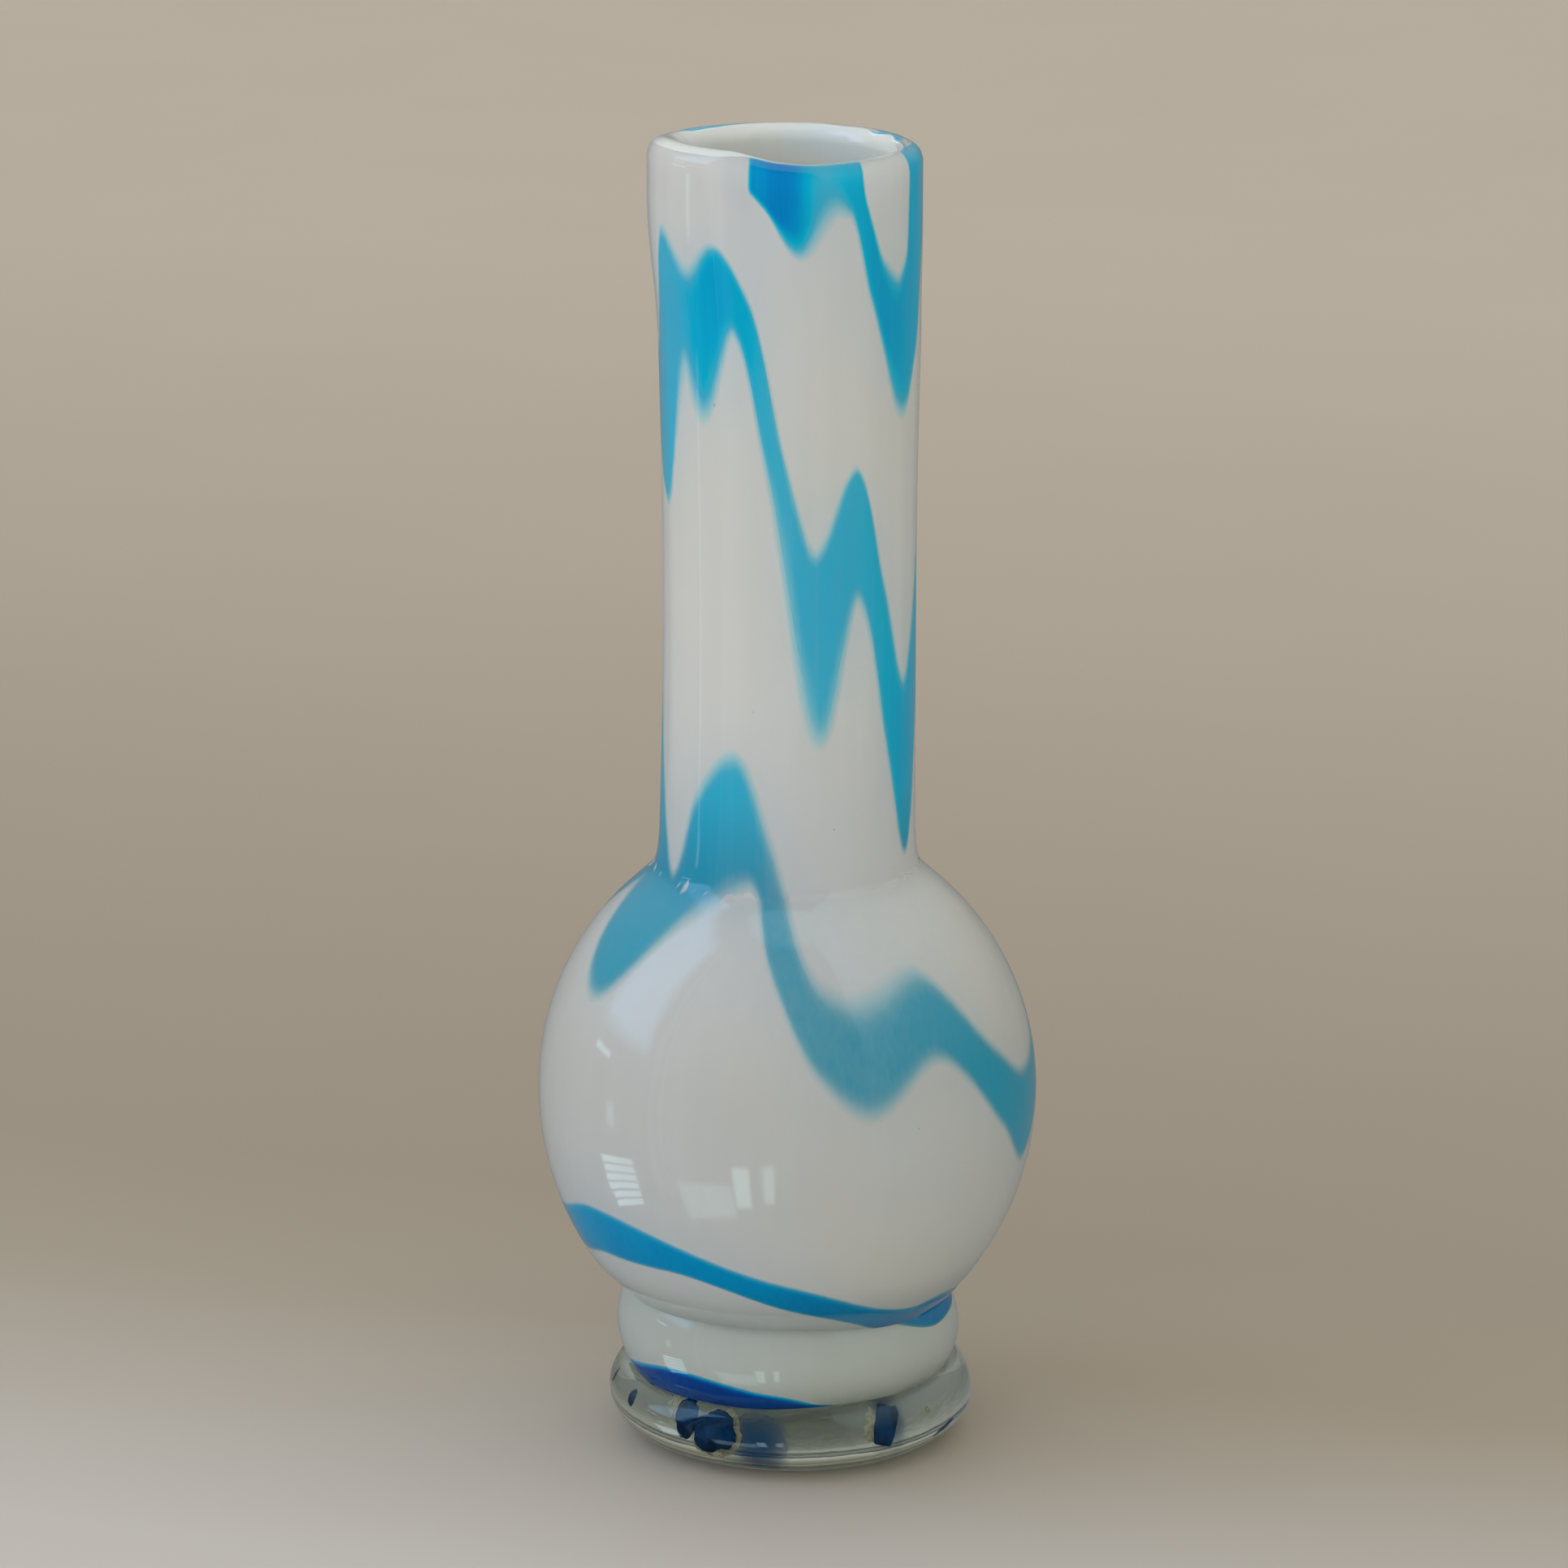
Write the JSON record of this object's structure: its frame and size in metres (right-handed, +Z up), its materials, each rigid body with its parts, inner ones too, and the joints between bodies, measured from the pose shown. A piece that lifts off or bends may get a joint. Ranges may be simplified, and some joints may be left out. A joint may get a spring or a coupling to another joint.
{
  "type": "vase",
  "caption": "Tall hand blown bottle vase: round bulb, long straight neck, rolled lip, clear disc foot, white opal glass with a raked blue strand under clear glass.",
  "frame": {"origin": "centre of the plane that the foot rests on", "axes": "+Z up along the vase's axis to the lip; -Y is the front, where the strand's largest zigzags are seen; +X is to the viewer's right"},
  "size_m": [0.0968, 0.0968, 0.257],
  "materials": {
    "opal_glass": "fire polished, milky white opal",
    "clear_glass": "fire polished, colourless, with faint draw lines and seeds",
    "foot_glass": "fire polished, with a faint straw and green tint",
    "blue_glass": "transparent turquoise to cobalt strand under clear glass",
    "cobalt_glass": "dark cobalt, sealed in clear glass"
  },
  "bodies": {
    "root": {"foot_disc": "foot_glass", "clear_casing": "clear_glass", "opal_liner": "opal_glass", "blue_trail": "blue_glass", "cobalt_chips": "cobalt_glass"}
  },
  "joints": []
}
